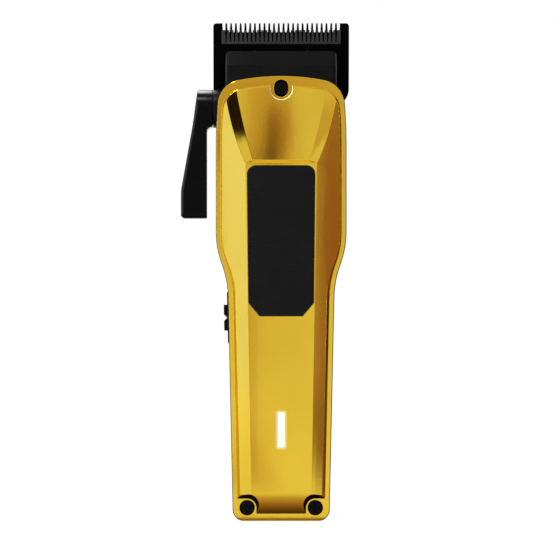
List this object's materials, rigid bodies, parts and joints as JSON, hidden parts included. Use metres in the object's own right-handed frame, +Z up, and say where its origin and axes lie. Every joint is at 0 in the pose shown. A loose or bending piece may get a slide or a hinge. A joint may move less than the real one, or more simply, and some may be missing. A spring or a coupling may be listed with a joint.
{
  "type": "hair clipper",
  "caption": "Cordless hair clipper with a faceted gold lid, a black grip pad, an adjustable toothed blade, a taper lever, a sliding switch, and its motor, cell and board inside.",
  "frame": {"origin": "middle of the flat base that the clipper stands on", "axes": "+X to the right of someone who faces the gold lid, +Y to the back, +Z up along the body to the blade"},
  "size_m": [0.0576, 0.0345, 0.1704],
  "materials": {
    "gold_shell": "polished gold plating",
    "housing_black": "satin black moulding",
    "grip_rubber": "finely ribbed soft black rubber",
    "light_lens": "milky white lens",
    "cover_black": "satin black moulding",
    "lever_black": "smooth black moulding",
    "frame_plastic": "dark grey glass-filled moulding",
    "blade_steel": "black coated steel",
    "cutter_steel": "ground and blackened steel",
    "screw_black": "black oxide steel",
    "bright_steel": "plated steel",
    "magnet_ferrite": "dull dark grey",
    "bronze": "sintered bronze and copper",
    "acetal_white": "slippery white moulding",
    "wire_cover": "red wire cover",
    "board_green": "green board",
    "lamp_white": "white lamp",
    "cell_wrap": "blue shrink wrap",
    "nickel": "nickel plate"
  },
  "bodies": {
    "housing": {"back_housing": "housing_black", "front_lid": "gold_shell", "lid_screws": "screw_black", "grip_pad": "grip_rubber", "light_window": "light_lens", "blade_cover": "cover_black", "drive_frame": "frame_plastic", "frame_screws": "bright_steel", "motor_can": "bright_steel", "motor_magnets": "magnet_ferrite", "motor_end_cap": "frame_plastic", "motor_terminals": "bronze", "motor_leads": "wire_cover", "motor_bush": "bronze", "motor_screws": "bright_steel", "lever_bush": "bronze", "switch_bezel": "cover_black", "power_switch": "frame_plastic", "circuit_board": "board_green", "board_screws": "bright_steel", "charge_socket": "nickel", "indicator_led": "lamp_white", "battery_cell": "cell_wrap", "battery_tabs": "nickel", "battery_leads": "wire_cover"},
    "lever": {"taper_lever": "lever_black", "lever_shaft": "bright_steel", "lever_screw": "screw_black"},
    "blade": {"still_blade": "blade_steel", "blade_carriage": "acetal_white", "blade_screws": "screw_black"},
    "cutter": {"cutter_blade": "cutter_steel", "cam_follower": "acetal_white", "tension_spring": "bright_steel"},
    "rotor": {"motor_shaft": "bright_steel", "armature": "magnet_ferrite", "commutator": "bronze", "eccentric_cam": "bright_steel", "cam_roller": "acetal_white"},
    "switch": {"switch_slider": "lever_black", "switch_toggle": "frame_plastic"}
  },
  "joints": [
    {"name": "lever_swing", "type": "hinge", "parent": "housing", "child": "lever", "pos_m": [-0.0233, -0.00392, 0.14102], "axis": [-1, 0, 0], "range_deg": [0, 45]},
    {"name": "blade_slide", "type": "slide", "parent": "housing", "child": "blade", "axis": [0, 0.1736, -0.9848], "range_m": [0, 0.0018]},
    {"name": "rotor_turn", "type": "hinge", "parent": "housing", "child": "rotor", "pos_m": [0, -0.00304, 0.13488], "axis": [0, -0.1736, 0.9848], "range_deg": [-90, 90]},
    {"name": "cutter_slide", "type": "slide", "parent": "housing", "child": "cutter", "axis": [1, 0, 0], "range_m": [-0.0013, 0.0013]},
    {"name": "switch_slide", "type": "slide", "parent": "housing", "child": "switch", "axis": [-0.0217, 0, 0.9998], "range_m": [0, 0.002]}
  ],
  "couplings": [
    {"joint": "lever_swing", "follows": "blade_slide", "rad_per_m": 436.3},
    {"joint": "rotor_turn", "follows": "cutter_slide", "rad_per_m": 1208}
  ]
}
